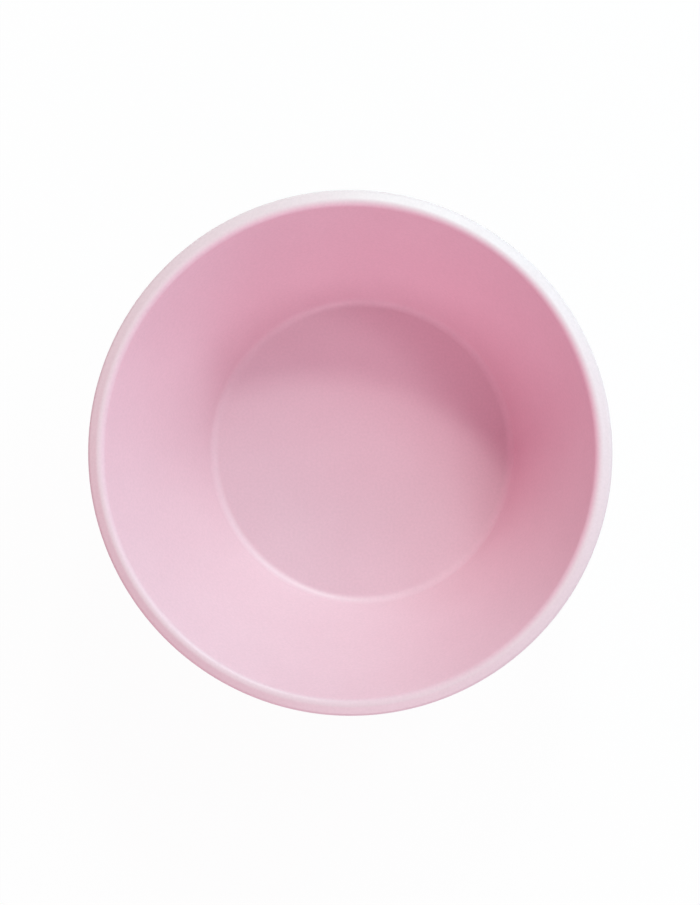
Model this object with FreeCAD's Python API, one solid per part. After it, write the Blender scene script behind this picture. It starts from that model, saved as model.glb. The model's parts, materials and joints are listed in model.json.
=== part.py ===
import FreeCAD, Part
import math
import os

# A baby's suction bowl: a thick silicone bowl whose hollow foot pushes on to a rigid base plate. The plate
# carries a soft suction skirt that seals on the table, and a pull tab on the skirt's edge breaks the seal.
# Frame: origin on the table under the bowl's centre, +Z up, the pull tab towards -Y. Millimetres and degrees.

# Bowl
RIM_DIAMETER = 128.0          # outermost edge of the rim
BOWL_DEPTH = 46.0             # food floor to the top of the rim
WALL_THICKNESS = 4.4          # measured square to the wall
WALL_DRAFT = 24.8             # lean of the wall from upright
FLOOR_ROUND = 2.8             # round between the food floor and the wall
FLOOR_THICKNESS = 3.2         # food floor above the socket
RIM_CREST_ROUND = 1.8         # round that rolls over from the inner wall
RIM_EDGE_ROUND = 1.2          # round at the rim's outer edge
RIM_FALL = 24.0               # slope of the rim from its crest down to its outer edge
HEEL_ROUND = 2.5              # round where the wall turns under
HEEL_STEP = 2.5               # how far the foot collar stands in from the heel
COLLAR_HEIGHT = 2.5           # foot collar below the heel
COLLAR_WIDTH = 5.5            # foot collar, from its outside to the socket
COLLAR_ROUND = 0.6            # small rounds on the collar and in the socket

# Base plate
PLUG_HEIGHT = 4.4             # how far the plug stands into the socket
SOCKET_TOP_CLEARANCE = 0.2    # plug's top to the socket's roof
PLUG_CLEARANCE = 0.5          # plug's side to the socket's wall
BEAD_CLEARANCE = 0.08         # grip beads to the socket's wall
BEAD_ROUND = 0.7              # section radius of each grip bead
BEAD_COUNT = 2
FLANGE_THICKNESS = 1.6        # ring that the bowl's foot stands on
PLATE_THICKNESS = 2.4         # top of the plug
PLATE_WALL = 3.0              # side of the plug
PLATE_ROUND = 0.8
WEB_COUNT = 6                 # stiffening webs under the plate
WEB_THICKNESS = 1.4
WEB_DEPTH = 1.2
HUB_RADIUS = 8.0              # ring that the webs run to
CHAMBER_ROUND = 1.0

# Suction skirt
SKIRT_HEIGHT = 4.6            # table to the plate's flange
SKIRT_THICKNESS = 1.6         # land bonded under the flange
SKIRT_REACH = 10.0            # lip beyond the flange's edge
LIP_THICKNESS = 1.0
LIP_ROUND = 0.4
SEAL_WIDTH = 6.5              # flat ring that seals on the table
SHOULDER_RUN = 3.2            # how far the skirt drops steeply before it flattens into the lip
SHOULDER_HEIGHT = 2.1         # skirt's upper face at the end of that drop
SHOULDER_ROUND = 3.2          # blend between the drop and the lip
UNDER_ROUND = 1.6             # blends on the skirt's underside
EAR_REACH = 1.2               # hinge ear beyond the lip
EAR_LIFT = 0.2                # ear's underside above the table

# Pull tab
TAB_WIDTH = 21.0
TAB_LENGTH = 11.0             # from the hinge line to the tip
TAB_THICKNESS = 2.2
TAB_TAPER = 1.5               # how much narrower each side is at the tip
TAB_CORNER = 5.5              # plan round at each tip corner
TAB_EDGE_ROUND = 0.7
TAB_TILT = 8.0                # tip stands up at rest, so that a finger gets under it
TAB_RAMP = 3.0                # length over which the tab thickens from its hinge
RAMP_ROUND = 3.0
HINGE_RADIUS = 0.5            # rounded root of the tab, on the hinge line
HINGE_GAP = 0.3               # between the root and the ear
GRIP_COUNT = 3
GRIP_PITCH = 2.2
GRIP_ROUND = 0.55
GRIP_INSET = 3.5              # each end of a grip ridge to the tab's side

# Levels and radii that follow from the sizes above
foot_z = SKIRT_HEIGHT + FLANGE_THICKNESS
heel_z = foot_z + COLLAR_HEIGHT
plug_top_z = foot_z + PLUG_HEIGHT
roof_z = plug_top_z + SOCKET_TOP_CLEARANCE
floor_z = roof_z + FLOOR_THICKNESS
rim_z = floor_z + BOWL_DEPTH
draft = math.radians(WALL_DRAFT)
fall = math.radians(RIM_FALL)


def point(r, z):
    """Point of a section, at radius r and height z."""
    return FreeCAD.Vector(r, 0, z)


def meet(start, along, other_start, other_along):
    """Where two lines of a section cross."""
    gap = other_start - start
    turn = along.x * other_along.z - along.z * other_along.x
    reach = (gap.x * other_along.z - gap.z * other_along.x) / turn
    return start + along * reach


def at_height(start, along, z):
    """Where a line of a section reaches height z."""
    return start + along * ((z - start.z) / along.z)


def outline(corners):
    """Closed wire through corners of (point, round): a round is a tangent arc's radius, or 0 for none."""
    ends = []
    edges = []
    count = len(corners)
    for i, (corner, radius) in enumerate(corners):
        before = (corners[i - 1][0] - corner).normalize()
        after = (corners[(i + 1) % count][0] - corner).normalize()
        if radius <= 0:
            ends.append((corner, corner))
            continue
        half = before.getAngle(after) / 2
        inward = (before + after).normalize()
        start = corner + before * (radius / math.tan(half))
        finish = corner + after * (radius / math.tan(half))
        middle = corner + inward * (radius / math.sin(half) - radius)
        edges.append(Part.Arc(start, middle, finish).toShape())
        ends.append((start, finish))
    for i in range(count):
        start, finish = ends[i][1], ends[(i + 1) % count][0]
        if start.distanceToPoint(finish) > 1e-6:
            edges.append(Part.LineSegment(start, finish).toShape())
    return Part.Wire(Part.sortEdges(edges)[0])


def turned(corners):
    """Solid turned about Z from the outline of its section."""
    face = Part.Face(outline(corners))
    return face.revolve(FreeCAD.Vector(0, 0, 0), FreeCAD.Vector(0, 0, 1), 360)


def extruded(corners, along):
    """Solid pushed along a vector from an outline."""
    return Part.Face(outline(corners)).extrude(along)


def bowl_lines():
    """Wall's section: a point on each face, the direction up the wall and the rim's two corners."""
    up_wall = FreeCAD.Vector(math.sin(draft), 0, math.cos(draft))
    through_wall = FreeCAD.Vector(math.cos(draft), 0, -math.sin(draft))
    off_crest = FreeCAD.Vector(math.sin(fall), 0, math.cos(fall))
    down_crest = FreeCAD.Vector(math.cos(fall), 0, -math.sin(fall))
    # The crest's round and the edge's round are both tangent to the sloping crest, and each is tangent to
    # one face of the wall, so the wall's thickness and the slope fix where their centres lie.
    across = WALL_THICKNESS - RIM_EDGE_ROUND - RIM_CREST_ROUND
    step = RIM_CREST_ROUND - RIM_EDGE_ROUND
    spread = (across * math.cos(fall) + step * math.sin(draft)) / math.cos(draft - fall)
    drop = (step * math.cos(draft) - across * math.sin(fall)) / math.cos(draft - fall)
    crest_centre = point(RIM_DIAMETER / 2 - RIM_EDGE_ROUND - spread, rim_z - RIM_CREST_ROUND)
    edge_centre = crest_centre + point(spread, drop)
    inner = crest_centre - through_wall * RIM_CREST_ROUND
    outer = edge_centre + through_wall * RIM_EDGE_ROUND
    slope = crest_centre + off_crest * RIM_CREST_ROUND
    peak = meet(inner, up_wall, slope, down_crest)
    brink = meet(outer, up_wall, slope, down_crest)
    return inner, outer, up_wall, peak, brink


inner_face, outer_face, up_wall, rim_peak, rim_brink = bowl_lines()
heel = at_height(outer_face, up_wall, heel_z)
collar_radius = heel.x - HEEL_STEP
socket_radius = collar_radius - COLLAR_WIDTH
plug_radius = socket_radius - PLUG_CLEARANCE
chamber_radius = plug_radius - PLATE_WALL
chamber_roof_z = plug_top_z - PLATE_THICKNESS
lip_radius = collar_radius + SKIRT_REACH
hinge_y = -(lip_radius + EAR_REACH + HINGE_GAP + HINGE_RADIUS)
hinge_z = EAR_LIFT + HINGE_RADIUS


def bowl_shell():
    """Food bowl: drafted wall, rolled rim, flat floor and a collar round the socket for the base plate."""
    return turned([
        (point(0, floor_z), 0),
        (at_height(inner_face, up_wall, floor_z), FLOOR_ROUND),
        (rim_peak, RIM_CREST_ROUND),
        (rim_brink, RIM_EDGE_ROUND),
        (heel, HEEL_ROUND),
        (point(collar_radius, heel_z), COLLAR_ROUND),
        (point(collar_radius, foot_z), COLLAR_ROUND),
        (point(socket_radius, foot_z), COLLAR_ROUND),
        (point(socket_radius, roof_z), COLLAR_ROUND),
        (point(0, roof_z), 0),
    ])


def base_plate():
    """Rigid plate: a plug with grip beads that fills the socket, and a flange that the foot stands on."""
    plate = turned([
        (point(0, plug_top_z), 0),
        (point(plug_radius, plug_top_z), PLATE_ROUND),
        (point(plug_radius, foot_z), 0),
        (point(collar_radius, foot_z), 0),
        (point(collar_radius, SKIRT_HEIGHT), 0),
        (point(chamber_radius, SKIRT_HEIGHT), CHAMBER_ROUND),
        (point(chamber_radius, chamber_roof_z), CHAMBER_ROUND),
        (point(0, chamber_roof_z), 0),
    ])
    bead_radius = socket_radius - BEAD_CLEARANCE - BEAD_ROUND
    bead_pitch = (plug_top_z - foot_z) / (BEAD_COUNT + 1)
    for i in range(BEAD_COUNT):
        level = FreeCAD.Vector(0, 0, foot_z + bead_pitch * (i + 1))
        plate = plate.fuse(Part.makeTorus(bead_radius, BEAD_ROUND, level))
    web_z = chamber_roof_z - WEB_DEPTH
    hub = Part.makeCylinder(HUB_RADIUS, WEB_DEPTH, FreeCAD.Vector(0, 0, web_z))
    hub = hub.cut(Part.makeCylinder(HUB_RADIUS - WEB_THICKNESS, WEB_DEPTH, FreeCAD.Vector(0, 0, web_z)))
    plate = plate.fuse(hub)
    web_start = HUB_RADIUS - WEB_THICKNESS / 2
    web_end = chamber_radius + PLATE_WALL / 2
    for i in range(WEB_COUNT):
        web = Part.makeBox(web_end - web_start, WEB_THICKNESS, WEB_DEPTH,
                           FreeCAD.Vector(web_start, -WEB_THICKNESS / 2, web_z))
        web.rotate(FreeCAD.Vector(0, 0, 0), FreeCAD.Vector(0, 0, 1), 360 / WEB_COUNT * (i + 0.5))
        plate = plate.fuse(web)
    return plate.removeSplitter()


def suction_skirt():
    """Soft flared ring that seals on the table, with an ear at -Y for the pull tab."""
    seal_start = lip_radius - LIP_ROUND - SEAL_WIDTH
    ring = turned([
        (point(chamber_radius, SKIRT_HEIGHT), 0),
        (point(collar_radius, SKIRT_HEIGHT), 0),
        (point(collar_radius + SHOULDER_RUN, SHOULDER_HEIGHT), SHOULDER_ROUND),
        (point(lip_radius, LIP_THICKNESS), LIP_ROUND),
        (point(lip_radius, 0), LIP_ROUND),
        (point(seal_start, 0), UNDER_ROUND),
        (point(collar_radius - SKIRT_THICKNESS, SKIRT_HEIGHT - SKIRT_THICKNESS), UNDER_ROUND),
        (point(chamber_radius, SKIRT_HEIGHT - SKIRT_THICKNESS), 0),
    ])
    ear_root_y = -(lip_radius - SEAL_WIDTH / 2)
    ear_end_y = -(lip_radius + EAR_REACH)
    flare = EAR_REACH + SEAL_WIDTH / 2
    ear = extruded([
        (FreeCAD.Vector(-TAB_WIDTH / 2, ear_end_y, EAR_LIFT), 0),
        (FreeCAD.Vector(TAB_WIDTH / 2, ear_end_y, EAR_LIFT), 0),
        (FreeCAD.Vector(TAB_WIDTH / 2 + flare, ear_root_y, EAR_LIFT), 0),
        (FreeCAD.Vector(-TAB_WIDTH / 2 - flare, ear_root_y, EAR_LIFT), 0),
    ], FreeCAD.Vector(0, 0, 2 * HINGE_RADIUS))
    return ring.fuse(ear).removeSplitter()


def release_tab():
    """Pull tab, rounded at its root on the hinge line, with grip ridges across its upper face."""
    underside = -HINGE_RADIUS
    upper = TAB_THICKNESS - HINGE_RADIUS
    half_root, half_tip = TAB_WIDTH / 2, TAB_WIDTH / 2 - TAB_TAPER
    side = extruded([
        (FreeCAD.Vector(-half_root, 0, underside), 0),
        (FreeCAD.Vector(-half_root, -TAB_LENGTH, underside), TAB_EDGE_ROUND),
        (FreeCAD.Vector(-half_root, -TAB_LENGTH, upper), TAB_EDGE_ROUND),
        (FreeCAD.Vector(-half_root, -TAB_RAMP, upper), RAMP_ROUND),
        (FreeCAD.Vector(-half_root, 0, HINGE_RADIUS), 0),
    ], FreeCAD.Vector(TAB_WIDTH, 0, 0))
    plan = extruded([
        (FreeCAD.Vector(-half_root, 0, underside), 0),
        (FreeCAD.Vector(-half_tip, -TAB_LENGTH, underside), TAB_CORNER),
        (FreeCAD.Vector(half_tip, -TAB_LENGTH, underside), TAB_CORNER),
        (FreeCAD.Vector(half_root, 0, underside), 0),
    ], FreeCAD.Vector(0, 0, TAB_THICKNESS))
    across = FreeCAD.Vector(1, 0, 0)
    root = Part.makeCylinder(HINGE_RADIUS, TAB_WIDTH, FreeCAD.Vector(-half_root, 0, 0), across)
    tab = side.common(plan).fuse(root)
    last_ridge_y = -(TAB_LENGTH - GRIP_PITCH)
    ridge_length = 2 * (half_tip - GRIP_INSET)
    for i in range(GRIP_COUNT):
        ridge_start = FreeCAD.Vector(-ridge_length / 2, last_ridge_y + i * GRIP_PITCH, upper)
        tab = tab.fuse(Part.makeCylinder(GRIP_ROUND, ridge_length, ridge_start, across))
    tab = tab.removeSplitter()
    tab.rotate(FreeCAD.Vector(0, 0, 0), across, -TAB_TILT)
    tab.translate(FreeCAD.Vector(0, hinge_y, hinge_z))
    return tab


PARTS = {
    "bowl_shell": bowl_shell,
    "base_plate": base_plate,
    "suction_skirt": suction_skirt,
    "release_tab": release_tab,
}

os.makedirs("parts", exist_ok=True)
for name, make in PARTS.items():
    shape = make()
    box = shape.BoundBox
    print(f"{name}: valid {shape.isValid()}, solids {len(shape.Solids)}, volume {shape.Volume:.1f} mm3, "
          f"from z {box.ZMin:.2f} to {box.ZMax:.2f}")
    shape.exportStep(f"parts/{name}.step")
print(f"hinge line at y {hinge_y:.3f}, z {hinge_z:.3f}; sealing lip's radius {lip_radius:.3f}")
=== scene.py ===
"""Looks of a baby's silicone suction bowl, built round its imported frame.

Each piece of the bowl is turned or pressed again as a fine mesh, in the place where the frame holds its
solid: the bowl, the base plate that plugs into its foot, the suction skirt that seals on the table, the pull
tab on the skirt's edge and the thin neck that the tab bends at. Lengths are in metres and angles in radians.
"""

import json
import logging
import math
from dataclasses import dataclass, field
from enum import Enum
from typing import Sequence

import bmesh
import bpy
from mathutils import Matrix, Vector


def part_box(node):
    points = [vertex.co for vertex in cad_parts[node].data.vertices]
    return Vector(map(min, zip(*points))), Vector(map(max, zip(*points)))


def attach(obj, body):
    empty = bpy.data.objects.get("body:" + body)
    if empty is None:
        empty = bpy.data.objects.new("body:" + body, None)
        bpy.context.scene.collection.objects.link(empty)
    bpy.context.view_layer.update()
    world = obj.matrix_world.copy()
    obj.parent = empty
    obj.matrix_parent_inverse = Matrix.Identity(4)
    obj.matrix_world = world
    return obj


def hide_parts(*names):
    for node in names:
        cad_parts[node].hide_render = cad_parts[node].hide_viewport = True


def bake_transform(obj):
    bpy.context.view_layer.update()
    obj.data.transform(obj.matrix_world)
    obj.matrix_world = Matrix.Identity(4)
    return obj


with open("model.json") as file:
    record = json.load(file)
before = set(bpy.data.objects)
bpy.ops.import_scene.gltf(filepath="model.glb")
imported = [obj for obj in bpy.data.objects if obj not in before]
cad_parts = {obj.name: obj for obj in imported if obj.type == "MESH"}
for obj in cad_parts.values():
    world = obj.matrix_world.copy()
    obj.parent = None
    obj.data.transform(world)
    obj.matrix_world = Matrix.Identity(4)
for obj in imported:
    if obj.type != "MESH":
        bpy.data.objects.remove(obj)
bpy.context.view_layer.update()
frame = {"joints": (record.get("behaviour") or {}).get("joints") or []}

log = logging.getLogger("suction_bowl")

MM = 0.001
TURN_STEPS = 224                      # facets round a turned piece
ARC_FACET = math.radians(7.5)         # largest turn between two facets of a rounded edge
MERGE_DISTANCE = 0.002 * MM           # points nearer than this are one
CUT_DISTANCE = MERGE_DISTANCE / 10    # a point nearer than this to a cut is on it
SHARP_ANGLE = math.radians(33)        # an edge that turns by more stays sharp
OUTLINE_ANGLE = math.radians(60)      # an edge that turns by more is a blank's outline
UP = Vector((0, 0, 1))
NODE_SPACING = 180                    # from one shader node to the next, in the node editor's units
OCTAVE_SHARE = 0.55                   # strength of each octave of noise beside the one before
MIX_START, MIX_END, MIX_RESULT = 6, 7, 2      # a Mix node's sockets for colours


class Body(Enum):
    """Bodies of the frame that the pieces ride on."""

    BOWL = "bowl"
    PLATE = "plate"
    SKIRT = "skirt"
    TAB = "tab"


# ---------------------------------------------------------------- finishes


class NodeSketch:
    """Lays out shader nodes in a tree and links them, so that a finish reads as a list of steps."""

    def __init__(self, tree: bpy.types.NodeTree) -> None:
        """Starts on a tree, which it empties."""
        self.tree = tree
        self.tree.nodes.clear()

    def add(self, kind: str, **settings: object) -> bpy.types.Node:
        """Adds a node.

        Args:
            kind: The node's type name.
            settings: Attributes to set on it.

        Returns:
            The new node, placed to the right of the last one.
        """
        node = self.tree.nodes.new(kind)
        node.location = (NODE_SPACING * len(self.tree.nodes), 0)
        for name, value in settings.items():
            setattr(node, name, value)
        return node

    def link(self, start: bpy.types.NodeSocket, end: bpy.types.NodeSocket) -> None:
        """Links one socket to another."""
        self.tree.links.new(start, end)

    def noise(self, vector: bpy.types.NodeSocket, scale: float, detail: float) -> bpy.types.NodeSocket:
        """Adds a noise texture.

        Args:
            vector: Coordinates that it reads.
            scale: Waves in a metre.
            detail: Octaves.

        Returns:
            Its grey value, from 0 to 1.
        """
        noise = self.add("ShaderNodeTexNoise", noise_dimensions="3D")
        noise.inputs["Scale"].default_value = scale
        noise.inputs["Detail"].default_value = detail
        noise.inputs["Roughness"].default_value = OCTAVE_SHARE
        self.link(vector, noise.inputs["Vector"])
        return noise.outputs["Fac"]

    def spread(self, value: bpy.types.NodeSocket, low: float, high: float) -> bpy.types.NodeSocket:
        """Stretches a value's middle range to 0 to 1.

        Args:
            value: Value to stretch.
            low: What becomes 0.
            high: What becomes 1.

        Returns:
            The stretched value.
        """
        stretch = self.add("ShaderNodeMapRange", clamp=True)
        stretch.inputs["From Min"].default_value = low
        stretch.inputs["From Max"].default_value = high
        self.link(value, stretch.inputs["Value"])
        return stretch.outputs["Result"]


@dataclass(frozen=True)
class NoisePattern:
    """Noise of the moulded surface: its waves in a metre, its octaves and the range that becomes 0 to 1."""

    output: str
    waves: float
    octaves: float
    low: float = 0.0
    high: float = 1.0


NOISE_PATTERNS = (
    NoisePattern("Grain", waves=2600, octaves=3),
    NoisePattern("Clouds", waves=38, octaves=3, low=0.3, high=0.7),
    NoisePattern("Speckle", waves=1500, octaves=2, low=0.32, high=0.68),
    NoisePattern("Handling", waves=90, octaves=5, low=0.35, high=0.7),
)


def new_group(name: str) -> bpy.types.NodeTree:
    """Makes an empty shader node group that reads a Vector.

    Args:
        name: Name of the group.

    Returns:
        The group, with its one input.
    """
    group = bpy.data.node_groups.new(name, "ShaderNodeTree")
    group.interface.new_socket("Vector", in_out="INPUT", socket_type="NodeSocketVector")
    return group


def moulded_surface_group() -> bpy.types.NodeTree:
    """Builds the group that every moulded finish shares: its grain, clouds, speckle and handling marks.

    Returns:
        The node group, built once.
    """
    name = "moulded_surface"
    found = bpy.data.node_groups.get(name)
    if found:
        return found
    group = new_group(name)
    for pattern in NOISE_PATTERNS:
        group.interface.new_socket(pattern.output, in_out="OUTPUT", socket_type="NodeSocketFloat")
    sketch = NodeSketch(group)
    entry = sketch.add("NodeGroupInput")
    leave = sketch.add("NodeGroupOutput")
    for pattern in NOISE_PATTERNS:
        value = sketch.noise(entry.outputs["Vector"], pattern.waves, pattern.octaves)
        sketch.link(sketch.spread(value, pattern.low, pattern.high), leave.inputs[pattern.output])
    return group


def painted_rim_highlight_group() -> bpy.types.NodeTree:
    """Builds the group that masks the rim for a painted highlight: off the Z axis between two distances, and
    up between two heights.

    Returns:
        The node group, built once.
    """
    name = "painted_rim_highlight"
    found = bpy.data.node_groups.get(name)
    if found:
        return found
    group = new_group(name)
    for socket in ("Inner", "Outer", "Low", "High"):
        group.interface.new_socket(socket, in_out="INPUT", socket_type="NodeSocketFloat")
    group.interface.new_socket("Mask", in_out="OUTPUT", socket_type="NodeSocketFloat")
    sketch = NodeSketch(group)
    entry = sketch.add("NodeGroupInput")
    leave = sketch.add("NodeGroupOutput")
    level = sketch.add("ShaderNodeVectorMath", operation="MULTIPLY")
    level.inputs[1].default_value = (1, 1, 0)
    sketch.link(entry.outputs["Vector"], level.inputs[0])
    reach = sketch.add("ShaderNodeVectorMath", operation="LENGTH")
    sketch.link(level.outputs["Vector"], reach.inputs[0])
    height = sketch.add("ShaderNodeSeparateXYZ")
    sketch.link(entry.outputs["Vector"], height.inputs[0])
    both = sketch.add("ShaderNodeMath", operation="MULTIPLY")
    spans = ((reach.outputs["Value"], "Inner", "Outer"), (height.outputs["Z"], "Low", "High"))
    for index, (value, start, end) in enumerate(spans):
        mask = sketch.add("ShaderNodeMapRange", interpolation_type="SMOOTHSTEP")
        sketch.link(value, mask.inputs["Value"])
        sketch.link(entry.outputs[start], mask.inputs["From Min"])
        sketch.link(entry.outputs[end], mask.inputs["From Max"])
        sketch.link(mask.outputs["Result"], both.inputs[index])
    sketch.link(both.outputs["Value"], leave.inputs["Mask"])
    return group


@dataclass(frozen=True)
class MouldedFinish:
    """Finish of a moulded piece, in linear colour."""

    name: str
    colour: tuple[float, float, float]
    cloud_colour: tuple[float, float, float]
    # a paler rim colour is a painted highlight: it stands in for the light and sheen that whiten the rim's
    # crest and outer edge, in the span below
    painted_highlight_colour: tuple[float, float, float] | None = None
    highlight_inner: float = 59.9 * MM
    highlight_outer: float = 61.6 * MM
    highlight_low: float = 53.5 * MM
    highlight_high: float = 57.5 * MM
    speckle: float = 0.025
    roughness: float = 0.55
    roughness_change: float = 0.06
    grain_height: float = 0.012 * MM
    grain_strength: float = 0.3
    specular: float = 0.4

    def material(self) -> bpy.types.Material:
        """Builds the material.

        Returns:
            The material, built once for each finish.
        """
        found = bpy.data.materials.get(self.name)
        if found:
            return found
        material = bpy.data.materials.new(self.name)
        material.use_nodes = True
        sketch = NodeSketch(material.node_tree)
        place = sketch.add("ShaderNodeTexCoord").outputs["Object"]
        surface = sketch.add("ShaderNodeGroup", node_tree=moulded_surface_group())
        sketch.link(place, surface.inputs["Vector"])

        clouded = sketch.add("ShaderNodeMix", data_type="RGBA")
        clouded.inputs[MIX_START].default_value = (*self.colour, 1)
        clouded.inputs[MIX_END].default_value = (*self.cloud_colour, 1)
        sketch.link(surface.outputs["Clouds"], clouded.inputs[0])
        tint = clouded.outputs[MIX_RESULT]
        # painted highlight: a paler colour is mixed in on the rim's crest and outer edge, where light and
        # sheen whiten it
        if self.painted_highlight_colour:
            highlight_mask = sketch.add("ShaderNodeGroup", node_tree=painted_rim_highlight_group())
            highlight_mask.inputs["Inner"].default_value = self.highlight_inner
            highlight_mask.inputs["Outer"].default_value = self.highlight_outer
            highlight_mask.inputs["Low"].default_value = self.highlight_low
            highlight_mask.inputs["High"].default_value = self.highlight_high
            sketch.link(place, highlight_mask.inputs["Vector"])
            highlighted = sketch.add("ShaderNodeMix", data_type="RGBA")
            highlighted.inputs[MIX_END].default_value = (*self.painted_highlight_colour, 1)
            sketch.link(highlight_mask.outputs["Mask"], highlighted.inputs[0])
            sketch.link(tint, highlighted.inputs[MIX_START])
            tint = highlighted.outputs[MIX_RESULT]
        speckled = sketch.add("ShaderNodeHueSaturation")
        lightness = sketch.add("ShaderNodeMapRange")
        lightness.inputs["To Min"].default_value = 1 - self.speckle
        lightness.inputs["To Max"].default_value = 1 + self.speckle
        sketch.link(surface.outputs["Speckle"], lightness.inputs["Value"])
        sketch.link(lightness.outputs["Result"], speckled.inputs["Value"])
        sketch.link(tint, speckled.inputs["Color"])

        matte = sketch.add("ShaderNodeMapRange")
        matte.inputs["To Min"].default_value = self.roughness - self.roughness_change
        matte.inputs["To Max"].default_value = self.roughness + self.roughness_change
        sketch.link(surface.outputs["Handling"], matte.inputs["Value"])

        bump = sketch.add("ShaderNodeBump")
        bump.inputs["Strength"].default_value = self.grain_strength
        bump.inputs["Distance"].default_value = self.grain_height
        sketch.link(surface.outputs["Grain"], bump.inputs["Height"])

        shader = sketch.add("ShaderNodeBsdfPrincipled")
        shader.inputs["Specular IOR Level"].default_value = self.specular
        sketch.link(speckled.outputs["Color"], shader.inputs["Base Color"])
        sketch.link(matte.outputs["Result"], shader.inputs["Roughness"])
        sketch.link(bump.outputs["Normal"], shader.inputs["Normal"])
        leave = sketch.add("ShaderNodeOutputMaterial")
        sketch.link(shader.outputs["BSDF"], leave.inputs["Surface"])
        return material


BOWL_SILICONE = MouldedFinish(
    name="matte_pink_silicone",
    colour=(0.81, 0.51, 0.59),
    cloud_colour=(0.83, 0.53, 0.61),
    # paler colour of the painted rim highlight
    painted_highlight_colour=(0.80, 0.62, 0.655),
    roughness=0.5,
    specular=0.7,
)
SKIRT_SILICONE = MouldedFinish(
    name="satin_pink_silicone",
    colour=(0.78, 0.47, 0.57),
    cloud_colour=(0.80, 0.49, 0.59),
    roughness=0.45,
)
PLATE_PLASTIC = MouldedFinish(
    name="pale_pink_plastic",
    colour=(0.84, 0.64, 0.70),
    cloud_colour=(0.85, 0.65, 0.71),
    roughness=0.5,
    speckle=0.03,
)


# ---------------------------------------------------------------- mesh helpers


@dataclass(frozen=True)
class Corner:
    """Corner of a section: its radius, its height and the round that takes its place."""

    r: float
    z: float
    round: float = 0.0

    @property
    def place(self) -> Vector:
        """The corner as a point of the XZ plane."""
        return Vector((self.r, 0, self.z))


def crossing(start: Vector, along: Vector, other: Vector, other_along: Vector) -> Vector:
    """Finds where two lines of the XZ plane cross.

    Args:
        start: A point of the first line.
        along: Its direction.
        other: A point of the second line.
        other_along: Its direction.

    Returns:
        The crossing.
    """
    gap = other - start
    turn = along.x * other_along.z - along.z * other_along.x
    return start + along * ((gap.x * other_along.z - gap.z * other_along.x) / turn)


class SectionPen:
    """Draws a half-section in the XZ plane and turns it about Z into a body."""

    def __init__(self) -> None:
        """Starts with no point drawn."""
        self.mesh = bmesh.new()
        self.tip: bmesh.types.BMVert | None = None

    def line_to(self, place: Vector) -> None:
        """Draws a straight edge from the tip to a point, or sets the first point there.

        Args:
            place: Point of the XZ plane.
        """
        if self.tip is None:
            self.tip = self.mesh.verts.new(place)
            return
        grown = bmesh.ops.extrude_vert_indiv(self.mesh, verts=[self.tip])
        self.tip = grown["verts"][0]
        self.tip.co = place

    def arc(self, centre: Vector, turn: float) -> None:
        """Spins the tip about a centre, which draws an arc.

        Args:
            centre: The arc's centre.
            turn: Its angle, positive from +Z towards +X.
        """
        steps = max(2, math.ceil(abs(turn) / ARC_FACET))
        spun = bmesh.ops.spin(
            self.mesh, geom=[self.tip], cent=centre, axis=(0, 1, 0), angle=turn, steps=steps, use_merge=False
        )
        self.tip = next(item for item in spun["geom_last"] if isinstance(item, bmesh.types.BMVert))

    def draw(self, corners: Sequence[Corner], closed: bool = False) -> None:
        """Draws a section through corners, each with its round.

        Args:
            corners: Corners in order.
            closed: Whether the last corner joins the first. An open section starts and ends on the axis.
        """
        count = len(corners)
        for index, corner in enumerate(corners):
            at_end = not closed and index in (0, count - 1)
            if at_end or corner.round == 0:
                self.line_to(corner.place)
                continue
            into = (corner.place - corners[index - 1].place).normalized()
            out = (corners[(index + 1) % count].place - corner.place).normalized()
            side = math.copysign(1, into.cross(out).y)
            turn = into.angle(out)
            start = corner.place - into * corner.round * math.tan(turn / 2)
            self.line_to(start)
            self.arc(start + Vector((0, side, 0)).cross(into) * corner.round, side * turn)
        if closed:
            first = self.mesh.verts[:][0]
            self.mesh.edges.new((self.tip, first))

    def turned(self) -> bmesh.types.BMesh:
        """Turns what is drawn once round Z.

        Returns:
            The closed body, with its poles merged and its faces outwards.
        """
        drawn = self.mesh.verts[:] + self.mesh.edges[:]
        bmesh.ops.spin(
            self.mesh, geom=drawn, cent=(0, 0, 0), axis=UP, angle=math.tau, steps=TURN_STEPS, use_merge=True
        )
        bmesh.ops.remove_doubles(self.mesh, verts=self.mesh.verts, dist=MERGE_DISTANCE)
        bmesh.ops.recalc_face_normals(self.mesh, faces=self.mesh.faces)
        return self.mesh


def turned_body(corners: Sequence[Corner], closed: bool = False) -> bmesh.types.BMesh:
    """Turns a section about Z.

    Args:
        corners: Corners of the half-section.
        closed: Whether the section is a loop that stays off the axis.

    Returns:
        The body's mesh.
    """
    pen = SectionPen()
    pen.draw(corners, closed)
    return pen.turned()


def thicken(mesh: bmesh.types.BMesh, along: Vector) -> None:
    """Extrudes a flat mesh into a body.

    Args:
        mesh: Flat mesh.
        along: From its first side to its second.
    """
    grown = bmesh.ops.extrude_face_region(mesh, geom=mesh.faces[:])["geom"]
    moved = [item for item in grown if isinstance(item, bmesh.types.BMVert)]
    bmesh.ops.translate(mesh, verts=moved, vec=along)


def pressed_body(corners: Sequence[Corner], width: float) -> bmesh.types.BMesh:
    """Draws a closed section and presses it to a width across the -Y direction.

    Args:
        corners: Corners of the section, with r as the distance out from the axis towards -Y.
        width: Width along X, with its middle on the axis.

    Returns:
        The body's mesh.
    """
    pen = SectionPen()
    pen.draw(corners, closed=True)
    mesh = pen.mesh
    bmesh.ops.remove_doubles(mesh, verts=mesh.verts, dist=MERGE_DISTANCE)
    bmesh.ops.contextual_create(mesh, geom=mesh.edges[:])
    thicken(mesh, Vector((0, width, 0)))
    bmesh.ops.translate(mesh, verts=mesh.verts, vec=(0, -width / 2, 0))
    bmesh.ops.rotate(mesh, verts=mesh.verts, cent=(0, 0, 0), matrix=Matrix.Rotation(-math.pi / 2, 3, "Z"))
    bmesh.ops.recalc_face_normals(mesh, faces=mesh.faces)
    return mesh


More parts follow.
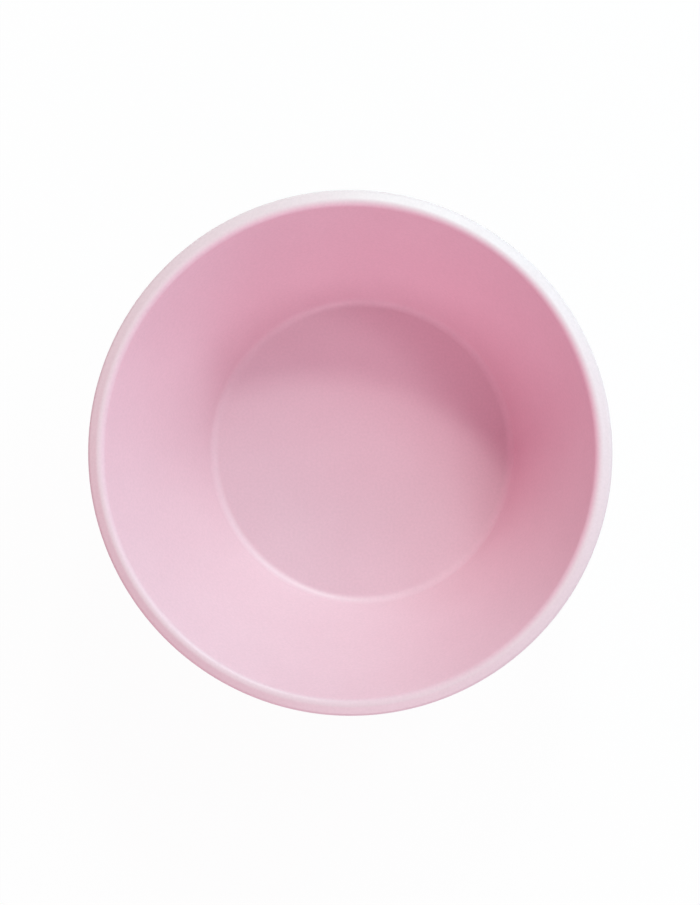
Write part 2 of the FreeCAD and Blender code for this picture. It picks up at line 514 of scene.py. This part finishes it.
def join(mesh: bmesh.types.BMesh, extra: bmesh.types.BMesh) -> None:
    """Adds one mesh to another and frees it.

    Args:
        mesh: Mesh that grows.
        extra: Mesh that is added, and freed.
    """
    data = bpy.data.meshes.new("joined")
    extra.to_mesh(data)
    extra.free()
    mesh.from_mesh(data)
    bpy.data.meshes.remove(data)


def cut_across(mesh: bmesh.types.BMesh, place: Vector, normal: Vector) -> None:
    """Cuts a line of edges round a mesh where a plane crosses it.

    Args:
        mesh: Mesh to cut.
        place: A point of the plane.
        normal: The plane's normal.
    """
    everything = mesh.verts[:] + mesh.edges[:] + mesh.faces[:]
    bmesh.ops.bisect_plane(mesh, geom=everything, dist=CUT_DISTANCE, plane_co=place, plane_no=normal)


def put_in_scene(name: str, data: bpy.types.ID) -> bpy.types.Object:
    """Makes an object of a mesh, lamp or camera.

    Args:
        name: Name of the object.
        data: Its mesh, lamp or camera.

    Returns:
        The object, in the scene.
    """
    item = bpy.data.objects.new(name, data)
    bpy.context.scene.collection.objects.link(item)
    return item


def add_piece(mesh: bmesh.types.BMesh, name: str, finish: MouldedFinish) -> bpy.types.Object:
    """Makes a finished mesh into a smooth shaded piece of the scene.

    Args:
        mesh: Mesh in its place, which is freed.
        name: Name of the piece.
        finish: Finish that it takes.

    Returns:
        The new object, at the origin.
    """
    for face in mesh.faces:
        face.smooth = True
    for edge in mesh.edges:
        edge.smooth = not edge.is_manifold or edge.calc_face_angle(0) < SHARP_ANGLE
    data = bpy.data.meshes.new(name)
    mesh.to_mesh(data)
    mesh.free()
    data.materials.append(finish.material())
    piece = put_in_scene(name, data)
    shade = piece.modifiers.new("even_shading", "WEIGHTED_NORMAL")
    shade.keep_sharp = True
    log.info("%s: %d faces", name, len(data.polygons))
    return piece


# ---------------------------------------------------------------- pieces


@dataclass
class BowlShell:
    """Food bowl: a straight drafted wall with a rolled rim, on a collar that takes the base plate's plug."""

    finish: MouldedFinish = BOWL_SILICONE
    depth: float = 46 * MM
    wall: float = 4.4 * MM
    draft: float = math.radians(24.8)
    floor_round: float = 2.8 * MM
    crest_round: float = 1.8 * MM
    edge_round: float = 1.2 * MM
    rim_fall: float = math.radians(24)
    heel_round: float = 2.5 * MM
    heel_step: float = 2.5 * MM
    collar_height: float = 2.5 * MM
    collar_width: float = 5.5 * MM
    collar_round: float = 0.6 * MM
    socket_depth: float = 4.6 * MM
    low: Vector = field(default_factory=lambda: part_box("bowl_shell")[0])
    high: Vector = field(default_factory=lambda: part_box("bowl_shell")[1])

    @property
    def rim_radius(self) -> float:
        """Outermost radius of the rim."""
        return (self.high.x - self.low.x) / 2

    @property
    def foot_z(self) -> float:
        """Height of the foot that stands on the base plate."""
        return self.low.z

    def section(self) -> list[Corner]:
        """Works out the bowl's half-section.

        Returns:
            Its corners, from the food floor's middle over the rim to the socket's middle.
        """
        up_wall = Vector((math.sin(self.draft), 0, math.cos(self.draft)))
        through = Vector((math.cos(self.draft), 0, -math.sin(self.draft)))
        off_crest = Vector((math.sin(self.rim_fall), 0, math.cos(self.rim_fall)))
        down_crest = Vector((math.cos(self.rim_fall), 0, -math.sin(self.rim_fall)))
        across = self.wall - self.edge_round - self.crest_round
        step = self.crest_round - self.edge_round
        lean = math.cos(self.draft - self.rim_fall)
        spread = (across * math.cos(self.rim_fall) + step * math.sin(self.draft)) / lean
        drop = (step * math.cos(self.draft) - across * math.sin(self.rim_fall)) / lean
        crest = Vector((self.rim_radius - self.edge_round - spread, 0, self.high.z - self.crest_round))
        edge = crest + Vector((spread, 0, drop))
        inner = crest - through * self.crest_round
        outer = edge + through * self.edge_round
        slope = crest + off_crest * self.crest_round
        peak = crossing(inner, up_wall, slope, down_crest)
        brink = crossing(outer, up_wall, slope, down_crest)
        floor_z = self.high.z - self.depth
        floor_edge = crossing(inner, up_wall, Vector((0, 0, floor_z)), Vector((1, 0, 0)))
        heel_z = self.foot_z + self.collar_height
        heel = crossing(outer, up_wall, Vector((0, 0, heel_z)), Vector((1, 0, 0)))
        collar = heel.x - self.heel_step
        socket = collar - self.collar_width
        roof_z = self.foot_z + self.socket_depth
        return [
            Corner(0, floor_z),
            Corner(floor_edge.x, floor_z, self.floor_round),
            Corner(peak.x, peak.z, self.crest_round),
            Corner(brink.x, brink.z, self.edge_round),
            Corner(heel.x, heel_z, self.heel_round),
            Corner(collar, heel_z, self.collar_round),
            Corner(collar, self.foot_z, self.collar_round),
            Corner(socket, self.foot_z, self.collar_round),
            Corner(socket, roof_z, self.collar_round),
            Corner(0, roof_z),
        ]

    def build(self) -> bpy.types.Object:
        """Turns the bowl and puts it on its body.

        Returns:
            The bowl.
        """
        piece = add_piece(turned_body(self.section()), "bowl", self.finish)
        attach(piece, Body.BOWL.value)
        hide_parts("bowl_shell")
        return piece


@dataclass
class BasePlate:
    """Stiff plate whose plug fills the bowl's socket, with grip beads outside and webs inside."""

    bowl: BowlShell
    finish: MouldedFinish = PLATE_PLASTIC
    flange: float = 1.6 * MM
    plug_clearance: float = 0.5 * MM
    bead_clearance: float = 0.08 * MM
    bead_half: float = 0.72 * MM
    bead_round: float = 0.35 * MM
    bead_flat: float = 0.45               # a bead's crest as a share of its foot
    bead_count: int = 2
    plate: float = 2.4 * MM
    side: float = 3.0 * MM
    edge_round: float = 0.8 * MM
    small_round: float = 0.3 * MM
    chamber_round: float = 1.0 * MM
    hub_radius: float = 8.0 * MM
    web_count: int = 6
    web: float = 1.4 * MM
    web_depth: float = 1.2 * MM
    web_round_steps: int = 3
    gate_radius: float = 2.2 * MM
    gate_depth: float = 0.5 * MM
    low: Vector = field(default_factory=lambda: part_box("base_plate")[0])
    high: Vector = field(default_factory=lambda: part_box("base_plate")[1])

    @property
    def flange_radius(self) -> float:
        """Outer radius of the flange."""
        return (self.high.x - self.low.x) / 2

    @property
    def plug_radius(self) -> float:
        """Radius of the plug between its beads."""
        return self.flange_radius - self.bowl.collar_width - self.plug_clearance

    @property
    def chamber_radius(self) -> float:
        """Inner radius of the plug."""
        return self.plug_radius - self.side

    def beads(self) -> list[Corner]:
        """Works out the grip beads down the plug's side.

        Returns:
            Their corners, from the top one down.
        """
        foot_z = self.low.z + self.flange
        pitch = (self.high.z - foot_z) / (self.bead_count + 1)
        crest = self.plug_radius + self.plug_clearance - self.bead_clearance
        corners = []
        for index in range(self.bead_count, 0, -1):
            level = foot_z + pitch * index
            corners.append(Corner(self.plug_radius, level + self.bead_half, self.small_round))
            corners.append(Corner(crest, level + self.bead_half * self.bead_flat, self.bead_round))
            corners.append(Corner(crest, level - self.bead_half * self.bead_flat, self.bead_round))
            corners.append(Corner(self.plug_radius, level - self.bead_half, self.small_round))
        return corners

    def section(self) -> list[Corner]:
        """Works out the plate's half-section.

        Returns:
            Its corners, from the plug's top over the flange to the chamber's middle.
        """
        foot_z = self.low.z + self.flange
        roof_z = self.high.z - self.plate
        return [
            Corner(0, self.high.z),
            Corner(self.plug_radius, self.high.z, self.edge_round),
            *self.beads(),
            Corner(self.plug_radius, foot_z, self.small_round / 2),
            Corner(self.flange_radius, foot_z, self.small_round),
            Corner(self.flange_radius, self.low.z, self.small_round),
            Corner(self.chamber_radius, self.low.z, self.small_round),
            Corner(self.chamber_radius, roof_z, self.chamber_round),
            Corner(self.gate_radius, roof_z, self.small_round / 2),
            Corner(self.gate_radius, roof_z + self.gate_depth, self.small_round / 2),
            Corner(0, roof_z + self.gate_depth),
        ]

    def hub(self) -> bmesh.types.BMesh:
        """Turns the ring that the webs run to.

        Returns:
            Its mesh.
        """
        roof_z = self.high.z - self.plate
        inner = self.hub_radius - self.web
        return turned_body([
            Corner(inner, roof_z + self.small_round),
            Corner(self.hub_radius, roof_z + self.small_round),
            Corner(self.hub_radius, roof_z - self.web_depth, self.small_round),
            Corner(inner, roof_z - self.web_depth, self.small_round),
        ], closed=True)

    def web_at(self, angle: float) -> bmesh.types.BMesh:
        """Presses one stiffening web.

        Args:
            angle: Where it stands round the axis.

        Returns:
            Its mesh.
        """
        roof_z = self.high.z - self.plate
        start = self.hub_radius - self.web / 2
        end = self.chamber_radius + self.side / 2
        mesh = bmesh.new()
        bmesh.ops.create_cube(mesh, size=1)
        height = self.web_depth + self.small_round
        bmesh.ops.scale(mesh, verts=mesh.verts, vec=(end - start, self.web, height))
        bmesh.ops.translate(
            mesh, verts=mesh.verts, vec=((start + end) / 2, 0, roof_z - self.web_depth + height / 2)
        )
        middle_z = roof_z - self.web_depth / 2
        lower = [edge for edge in mesh.edges if all(vert.co.z < middle_z for vert in edge.verts)]
        bmesh.ops.bevel(
            mesh, geom=lower, offset=self.small_round, offset_type="OFFSET",
            segments=self.web_round_steps, profile=0.5, affect="EDGES", material=-1,
        )
        bmesh.ops.rotate(mesh, verts=mesh.verts, cent=(0, 0, 0), matrix=Matrix.Rotation(angle, 3, "Z"))
        return mesh

    def build(self) -> bpy.types.Object:
        """Turns the plate, adds its hub and webs and puts it on its body.

        Returns:
            The plate.
        """
        mesh = turned_body(self.section())
        join(mesh, self.hub())
        for index in range(self.web_count):
            join(mesh, self.web_at(math.tau * (index + 0.5) / self.web_count))
        piece = add_piece(mesh, "base_plate_moulding", self.finish)
        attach(piece, Body.PLATE.value)
        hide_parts("base_plate")
        return piece


@dataclass
class SuctionSkirt:
    """Soft flared ring, bonded under the plate's flange, that flattens as the bowl is pressed down."""

    plate: BasePlate
    finish: MouldedFinish = SKIRT_SILICONE
    thickness: float = 1.6 * MM
    lip: float = 1.0 * MM
    lip_round: float = 0.4 * MM
    seal: float = 6.5 * MM
    shoulder_run: float = 3.2 * MM
    shoulder_height: float = 2.1 * MM
    shoulder_round: float = 3.2 * MM
    under_round: float = 1.6 * MM
    groove: float = 0.5 * MM
    groove_depth: float = 0.2 * MM
    groove_round: float = 0.08 * MM
    groove_count: int = 3
    groove_start: float = 0.75            # the first groove's place, as a share of the pitch
    groove_flank: float = 0.25            # a flank's share of a groove's width
    rise: float = 1.1 * MM
    low: Vector = field(default_factory=lambda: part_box("suction_skirt")[0])
    high: Vector = field(default_factory=lambda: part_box("suction_skirt")[1])

    @property
    def lip_radius(self) -> float:
        """Radius of the sealing lip."""
        return (self.high.x - self.low.x) / 2

    def grooves(self) -> list[Corner]:
        """Works out the fine grooves in the sealing face.

        Returns:
            Their corners, from the outermost one in.
        """
        corners = []
        pitch = self.seal / (self.groove_count + 1)
        flank = self.groove * self.groove_flank
        for index in range(self.groove_count):
            outer = self.lip_radius - self.lip_round - pitch * (index + self.groove_start)
            inner = outer - self.groove
            corners.append(Corner(outer, 0, self.groove_round))
            corners.append(Corner(outer - flank, self.groove_depth, self.groove_round))
            corners.append(Corner(inner + flank, self.groove_depth, self.groove_round))
            corners.append(Corner(inner, 0, self.groove_round))
        return corners

    def section(self) -> list[Corner]:
        """Works out the skirt's section.

        Returns:
            Its corners, round the closed ring.
        """
        top = self.high.z
        flange = self.plate.flange_radius
        chamber = self.plate.chamber_radius
        return [
            Corner(chamber, top, self.lip_round / 2),
            Corner(flange, top, self.lip_round / 2),
            Corner(flange + self.shoulder_run, self.shoulder_height, self.shoulder_round),
            Corner(self.lip_radius, self.lip, self.lip_round),
            Corner(self.lip_radius, 0, self.lip_round),
            *self.grooves(),
            Corner(self.lip_radius - self.lip_round - self.seal, 0, self.under_round),
            Corner(flange - self.thickness, top - self.thickness, self.under_round),
            Corner(chamber, top - self.thickness, self.lip_round),
        ]

    def build(self) -> bpy.types.Object:
        """Turns the skirt and leaves it in its place, with its transform applied.

        Returns:
            The skirt.
        """
        piece = add_piece(turned_body(self.section(), closed=True), "skirt_ring", self.finish)
        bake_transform(piece)
        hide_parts("suction_skirt")
        return piece


@dataclass
class PullTab:
    """Ridged tab that a finger lifts, and the neck on the skirt's edge that it bends at."""

    skirt: SuctionSkirt
    finish: MouldedFinish = SKIRT_SILICONE
    width: float = 21 * MM
    length: float = 11 * MM
    thickness: float = 2.2 * MM
    taper: float = 1.5 * MM
    tip_round: float = 5.5 * MM
    tip_round_steps: int = 16
    edge_round: float = 0.7 * MM
    edge_round_steps: int = 5
    tilt: float = math.radians(8)
    ramp: float = 3 * MM
    ramp_cuts: int = 8
    root_half: float = 0.5 * MM
    ridge_count: int = 3
    ridge_pitch: float = 2.2 * MM
    ridge_width: float = 1.1 * MM
    ridge_height: float = 0.5 * MM
    ridge_inset: float = 3.5 * MM
    ridge_turn_steps: int = 28
    ridge_end_steps: int = 15
    ear_reach: float = 1.2 * MM
    neck_half: float = 0.28 * MM
    neck_run: float = 0.9 * MM
    neck_root: float = 3.25 * MM
    neck_embed: float = 0.8 * MM
    neck_inset: float = 0.45 * MM
    neck_end: float = 0.9                 # the neck's end as a share of the tab's root
    neck_sink: float = 1.6                # how fast the flare's top dips into the lip
    flare_cuts: int = 11

    @property
    def hinge(self) -> Vector:
        """Middle of the line that the tab bends about."""
        joint = next(joint for joint in frame["joints"] if joint["name"] == "tab_lift")
        return Vector(joint["pos_m"])

    def blank(self) -> bmesh.types.BMesh:
        """Presses the tab's flat blank, with its root at the origin and its tip towards -Y.

        Returns:
            Its mesh, before ridges and edge rounds.
        """
        mesh = bmesh.new()
        bmesh.ops.create_grid(mesh, x_segments=1, y_segments=1, size=0.5)
        bmesh.ops.scale(mesh, verts=mesh.verts, vec=(self.width, self.length, 1))
        bmesh.ops.translate(mesh, verts=mesh.verts, vec=(0, -self.length / 2, -self.root_half))
        tip = [vert for vert in mesh.verts if vert.co.y < -self.length / 2]
        bmesh.ops.scale(mesh, verts=tip, vec=(1 - 2 * self.taper / self.width, 1, 1))
        bmesh.ops.bevel(
            mesh, geom=tip, offset=self.tip_round, offset_type="OFFSET",
            segments=self.tip_round_steps, profile=0.5, affect="VERTICES", material=-1,
        )
        thicken(mesh, Vector((0, 0, self.thickness)))
        bmesh.ops.recalc_face_normals(mesh, faces=mesh.faces)
        return mesh

    def thin_root(self, mesh: bmesh.types.BMesh) -> None:
        """Brings the tab's thickness down to its thin root.

        Args:
            mesh: The tab's rounded blank.
        """
        for step in range(1, self.ramp_cuts + 1):
            cut_across(mesh, Vector((0, -self.ramp * step / self.ramp_cuts, 0)), Vector((0, 1, 0)))
        squeeze = 1 - 2 * self.root_half / self.thickness
        for vert in mesh.verts:
            share = max(0.0, 1 + vert.co.y / self.ramp)
            eased = share * share * (3 - 2 * share)
            vert.co.z = (vert.co.z + self.root_half) * (1 - squeeze * eased) - self.root_half

    def raise_ridges(self, mesh: bmesh.types.BMesh) -> None:
        """Raises the round-ended grip ridges out of the tab's upper face.

        Args:
            mesh: The tab, still flat.
        """
        top = self.thickness - self.root_half
        radius = self.ridge_width / 2
        shift = self.width / 2 - self.taper - self.ridge_inset - radius
        on_side = Matrix.Rotation(math.pi / 2, 3, "Y")
        for index in range(self.ridge_count):
            ridge = bmesh.new()
            bmesh.ops.create_uvsphere(
                ridge, u_segments=self.ridge_turn_steps, v_segments=self.ridge_end_steps, radius=radius
            )
            bmesh.ops.rotate(ridge, verts=ridge.verts, cent=(0, 0, 0), matrix=on_side)
            for vert in ridge.verts:
                vert.co.x += math.copysign(shift, vert.co.x)
            bmesh.ops.scale(ridge, verts=ridge.verts, vec=(1, 1, self.ridge_height / radius))
            middle = self.ridge_pitch * (index + 1) - self.length
            bmesh.ops.translate(ridge, verts=ridge.verts, vec=(0, middle, top))
            join(mesh, ridge)

    def soften(self, mesh: bmesh.types.BMesh) -> None:
        """Rounds the blank's upper and lower outlines, apart from the root.

        Args:
            mesh: The tab's blank.
        """
        outline = [
            edge for edge in mesh.edges
            if edge.is_manifold and edge.calc_face_angle(0) > OUTLINE_ANGLE
            and min(vert.co.y for vert in edge.verts) < -MERGE_DISTANCE
        ]
        bmesh.ops.bevel(
            mesh, geom=outline, offset=self.edge_round, offset_type="OFFSET",
            segments=self.edge_round_steps, profile=0.5, affect="EDGES", material=-1,
        )

    def build_tab(self) -> bpy.types.Object:
        """Presses the tab and puts it on its body.

        Returns:
            The tab.
        """
        mesh = self.blank()
        self.soften(mesh)
        self.thin_root(mesh)
        self.raise_ridges(mesh)
        bmesh.ops.rotate(mesh, verts=mesh.verts, cent=(0, 0, 0), matrix=Matrix.Rotation(-self.tilt, 3, "X"))
        bmesh.ops.translate(mesh, verts=mesh.verts, vec=self.hinge)
        piece = add_piece(mesh, "tab", self.finish)
        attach(piece, Body.TAB.value)
        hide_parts("release_tab")
        return piece

    def neck_section(self) -> list[Corner]:
        """Works out the neck's side section, thinnest on the hinge line.

        Returns:
            Its corners, with r as the distance out from the axis.
        """
        hinge_r, hinge_z = -self.hinge.y, self.hinge.z
        low, high = hinge_z - self.root_half, hinge_z + self.root_half
        start = self.skirt.lip_radius - self.neck_root
        end = hinge_r + self.neck_run + self.neck_embed
        before, after = hinge_r - self.neck_run, hinge_r + self.neck_run
        thin = self.root_half * self.neck_end
        under = thin / 2                  # less below than above, because the tab tilts up from its root
        return [
            Corner(start, high),
            Corner(before, high, self.root_half),
            Corner(hinge_r, hinge_z + self.neck_half, self.root_half),
            Corner(after, hinge_z + thin, self.root_half / 2),
            Corner(end, hinge_z + thin),
            Corner(end, hinge_z - under / 2),
            Corner(after, hinge_z - under, self.root_half / 2),
            Corner(hinge_r, hinge_z - self.neck_half, self.root_half),
            Corner(before, low, self.root_half),
            Corner(start, low),
        ]

    def build_neck(self) -> bpy.types.Object:
        """Presses the neck and flares it into the lip.

        Returns:
            The neck.
        """
        half = self.width / 2 - self.neck_inset
        mesh = pressed_body(self.neck_section(), 2 * half)
        ear_end = self.skirt.lip_radius + self.ear_reach
        start = self.skirt.lip_radius - self.neck_root
        flare = ear_end - start
        for step in range(1, self.flare_cuts + 1):
            cut = start + flare * step / (self.flare_cuts + 1)
            cut_across(mesh, Vector((0, -cut, 0)), Vector((0, 1, 0)))
        for vert in mesh.verts:
            share = max(0.0, (ear_end + vert.co.y) / flare)
            vert.co.x *= 1 + share * share * flare / half
            if vert.co.z > self.hinge.z:
                vert.co.z -= self.root_half * min(1.0, self.neck_sink * share)
        piece = add_piece(mesh, "tab_neck", self.finish)
        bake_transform(piece)
        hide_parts("suction_skirt")
        return piece


# ---------------------------------------------------------------- studio


@dataclass(frozen=True)
class Softbox:
    """Square softbox that looks at the bowl's mouth."""

    name: str
    azimuth: float
    elevation: float
    size: float
    power: float
    colour: tuple[float, float, float]
    distance: float = 1.2


@dataclass
class Studio:
    """White table, tinted soft lights and the camera over the bowl.

    The places, strengths and tints of the softboxes and the room are a solver's rounded output. They aren't a
    rig set by hand, nor plain white light.
    """

    softboxes: Sequence[Softbox] = (
        Softbox("key", math.radians(75), math.radians(45), 0.1, 2.9, (0.76, 1.0, 0.90)),
        Softbox("key_left", math.radians(80), math.radians(40), 0.2, 2.2, (0.64, 1.0, 0.87)),
        Softbox("key_right", math.radians(50), math.radians(40), 0.2, 1.8, (0.45, 1.0, 0.94)),
        Softbox("key_low_left", math.radians(85), math.radians(30), 0.2, 2.1, (0.48, 1.0, 0.86)),
        Softbox("key_low_right", math.radians(45), math.radians(30), 0.2, 2.4, (0.46, 1.0, 0.96)),
        Softbox("key_high_right", math.radians(35), math.radians(50), 0.2, 2.4, (0.75, 1.0, 0.96)),
        Softbox("front", math.radians(270), math.radians(30), 0.6, 4.4, (1.0, 0.89, 0.98)),
        Softbox("right_low", 0.0, math.radians(15), 0.6, 1.9, (0.63, 0.90, 1.0)),
        Softbox("left", math.radians(180), math.radians(35), 0.6, 1.4, (1.0, 0.0, 0.14)),
    )
    world_strength: float = 0.43
    world_colour: tuple[float, float, float] = (1.0, 0.72, 0.86)
    camera_lean: float = math.radians(4.5)
    lean_azimuth: float = math.radians(7)
    aim_offset: Vector = field(default_factory=lambda: Vector((0.52, 0.17, 0)) * MM)
    camera_distance: float = 700 * MM
    view_height: float = 219.7 * MM
    sensor: float = 36 * MM
    clip_start: float = 10 * MM
    table_size: float = 3.0
    table_drop: float = 0.05 * MM
    paper_grey: float = 0.8
    paper_glow: float = 0.96              # share of plain white in what the camera sees of the table

    def aim(self, item: bpy.types.Object, place: Vector, target: Vector) -> None:
        """Puts a camera or lamp at a place and turns it towards a target, with its top towards +Y.

        Args:
            item: The camera or lamp.
            place: Where it goes.
            target: What it looks at.
        """
        back = (place - target).normalized()
        right = Vector((0, 1, 0)).cross(back).normalized()
        matrix = Matrix((right, back.cross(right), back)).transposed().to_4x4()
        matrix.translation = place
        item.matrix_world = matrix

    def place_camera(self, target: Vector) -> None:
        """Adds the camera and makes it the scene's.

        Args:
            target: Middle of the bowl's mouth.
        """
        data = bpy.data.cameras.new("overhead_camera")
        data.sensor_width = self.sensor / MM
        data.lens = self.sensor * self.camera_distance / self.view_height / MM
        data.clip_start = self.clip_start
        camera = put_in_scene("overhead_camera", data)
        back = Matrix.Rotation(self.lean_azimuth, 3, "Z") @ Matrix.Rotation(self.camera_lean, 3, "Y") @ UP
        middle = target + self.aim_offset
        self.aim(camera, middle + back * self.camera_distance, middle)
        bpy.context.scene.camera = camera

    def hang_softboxes(self, target: Vector) -> None:
        """Adds each softbox.

        Args:
            target: Middle of the bowl's mouth, which they look at.
        """
        for box in self.softboxes:
            data = bpy.data.lights.new(box.name, "AREA")
            data.shape = "SQUARE"
            data.size = box.size
            data.energy = box.power
            data.color = box.colour
            lamp = put_in_scene(box.name, data)
            turn = Matrix.Rotation(box.azimuth, 3, "Z") @ Matrix.Rotation(-box.elevation, 3, "Y")
            away = turn @ Vector((1, 0, 0))
            self.aim(lamp, target + away * box.distance, target)

    def fill_world(self) -> None:
        """Lights the room evenly, and shows it white."""
        world = bpy.data.worlds.new("room")
        bpy.context.scene.world = world
        world.use_nodes = True
        sketch = NodeSketch(world.node_tree)
        rays = sketch.add("ShaderNodeLightPath")
        seen = sketch.add("ShaderNodeMath", operation="MAXIMUM")
        sketch.link(rays.outputs["Is Camera Ray"], seen.inputs[0])
        sketch.link(rays.outputs["Is Transmission Ray"], seen.inputs[1])
        strength = sketch.add("ShaderNodeMix", data_type="FLOAT")
        strength.inputs[2].default_value = self.world_strength
        strength.inputs[3].default_value = 1.0
        sketch.link(seen.outputs[0], strength.inputs[0])
        tone = sketch.add("ShaderNodeMix", data_type="RGBA")
        tone.inputs[MIX_START].default_value = (*self.world_colour, 1)
        tone.inputs[MIX_END].default_value = (1, 1, 1, 1)
        sketch.link(seen.outputs[0], tone.inputs[0])
        background = sketch.add("ShaderNodeBackground")
        sketch.link(tone.outputs[MIX_RESULT], background.inputs["Color"])
        sketch.link(strength.outputs[0], background.inputs["Strength"])
        leave = sketch.add("ShaderNodeOutputWorld")
        sketch.link(background.outputs["Background"], leave.inputs["Surface"])

    def lay_table(self) -> None:
        """Adds the white table top, a hair below the lip so that the two faces don't share a plane."""
        mesh = bmesh.new()
        bmesh.ops.create_grid(mesh, x_segments=1, y_segments=1, size=self.table_size)
        bmesh.ops.translate(mesh, verts=mesh.verts, vec=(0, 0, -self.table_drop))
        data = bpy.data.meshes.new("table_top")
        mesh.to_mesh(data)
        mesh.free()
        table = put_in_scene("table_top", data)
        data.materials.append(self.table_material())

    def table_material(self) -> bpy.types.Material:
        """Builds the table's white, which the camera sees as white paper that still takes a shadow.

        Returns:
            The material.
        """
        material = bpy.data.materials.new("white_table")
        material.use_nodes = True
        sketch = NodeSketch(material.node_tree)
        paper = sketch.add("ShaderNodeBsdfDiffuse")
        paper.inputs["Color"].default_value = (self.paper_grey, self.paper_grey, self.paper_grey, 1)
        glow = sketch.add("ShaderNodeEmission")
        glow.inputs["Color"].default_value = (1, 1, 1, 1)
        rays = sketch.add("ShaderNodeLightPath")
        share = sketch.add("ShaderNodeMath", operation="MULTIPLY")
        share.inputs[1].default_value = self.paper_glow
        sketch.link(rays.outputs["Is Camera Ray"], share.inputs[0])
        both = sketch.add("ShaderNodeMixShader")
        sketch.link(share.outputs[0], both.inputs[0])
        sketch.link(paper.outputs[0], both.inputs[1])
        sketch.link(glow.outputs[0], both.inputs[2])
        leave = sketch.add("ShaderNodeOutputMaterial")
        sketch.link(both.outputs[0], leave.inputs["Surface"])
        return material

    def build(self, target: Vector) -> None:
        """Builds the whole studio.

        Args:
            target: Middle of the bowl's mouth.
        """
        self.lay_table()
        self.fill_world()
        self.hang_softboxes(target)
        self.place_camera(target)
        bpy.context.scene.view_settings.view_transform = "Standard"


def main() -> None:
    """Builds the bowl and its studio."""
    logging.basicConfig(level=logging.INFO, format="%(name)s: %(message)s")
    bowl = BowlShell()
    bowl.build()
    plate = BasePlate(bowl)
    plate.build()
    skirt = SuctionSkirt(plate)
    skirt.build()
    tab = PullTab(skirt)
    tab.build_tab()
    tab.build_neck()
    Studio().build(Vector((0, 0, bowl.high.z)))


if __name__ == "__main__":
    main()
